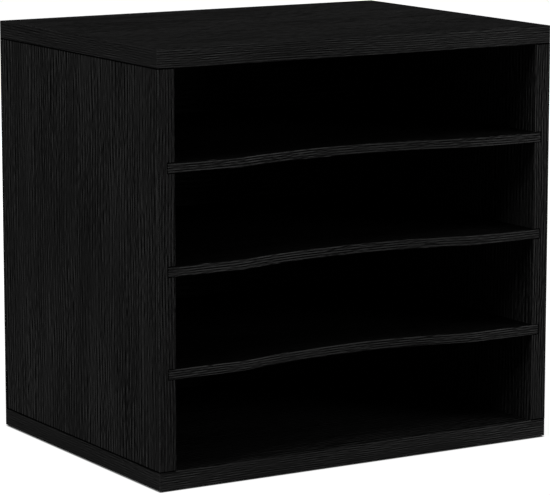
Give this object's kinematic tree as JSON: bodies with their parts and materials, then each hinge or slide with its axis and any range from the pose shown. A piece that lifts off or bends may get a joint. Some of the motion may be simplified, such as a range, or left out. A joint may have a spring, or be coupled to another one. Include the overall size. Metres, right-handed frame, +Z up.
{
  "type": "open shelf desk organizer",
  "caption": "Desktop file organizer: an open-fronted black woodgrain case with loose shelves that slide in side grooves and have a shallow finger recess in front.",
  "frame": {"origin": "on the surface that the pads stand on, under the middle of the case", "axes": "+X to the right as seen from the front, along the width; +Y from the open front to the back; +Z up"},
  "size_m": [0.374, 0.275, 0.351],
  "materials": {
    "woodgrain_laminate": "black melamine laminate with an embossed straight wood grain, satin",
    "edge_band": "black edge banding with a fine grain along its length, satin",
    "back_board": "thin black laminated hardboard, matt",
    "dowel_wood": "raw beech",
    "plated_steel": "bright zinc plating",
    "cast_zinc": "plain die-cast zinc",
    "cover_plastic": "fine matt texture",
    "pad_rubber": "matt foam rubber"
  },
  "bodies": {
    "case": {"top_board": "woodgrain_laminate", "bottom_board": "woodgrain_laminate", "left_side_board": "woodgrain_laminate", "right_side_board": "woodgrain_laminate", "top_front_band": "edge_band", "top_rear_band": "edge_band", "top_left_band": "edge_band", "top_right_band": "edge_band", "bottom_front_band": "edge_band", "bottom_rear_band": "edge_band", "bottom_left_band": "edge_band", "bottom_right_band": "edge_band", "left_side_front_band": "edge_band", "left_side_rear_band": "edge_band", "right_side_front_band": "edge_band", "right_side_rear_band": "edge_band", "back_panel": "back_board", "top_dowels": "dowel_wood", "bottom_dowels": "dowel_wood", "cam_bolts": "plated_steel", "bottom_screws": "plated_steel", "cam_locks": "cast_zinc", "cam_covers": "cover_plastic", "front_left_pad": "pad_rubber", "front_right_pad": "pad_rubber", "rear_left_pad": "pad_rubber", "rear_right_pad": "pad_rubber"},
    "lower_shelf": {"lower_shelf": "woodgrain_laminate", "lower_shelf_band": "edge_band"},
    "middle_shelf": {"middle_shelf": "woodgrain_laminate", "middle_shelf_band": "edge_band"},
    "upper_shelf": {"upper_shelf": "woodgrain_laminate", "upper_shelf_band": "edge_band"}
  },
  "joints": [
    {"name": "lower_shelf_slide", "type": "slide", "parent": "case", "child": "lower_shelf", "axis": [0, -1, 0], "range_m": [0, 0.27]},
    {"name": "middle_shelf_slide", "type": "slide", "parent": "case", "child": "middle_shelf", "axis": [0, -1, 0], "range_m": [0, 0.27]},
    {"name": "upper_shelf_slide", "type": "slide", "parent": "case", "child": "upper_shelf", "axis": [0, -1, 0], "range_m": [0, 0.27]}
  ]
}
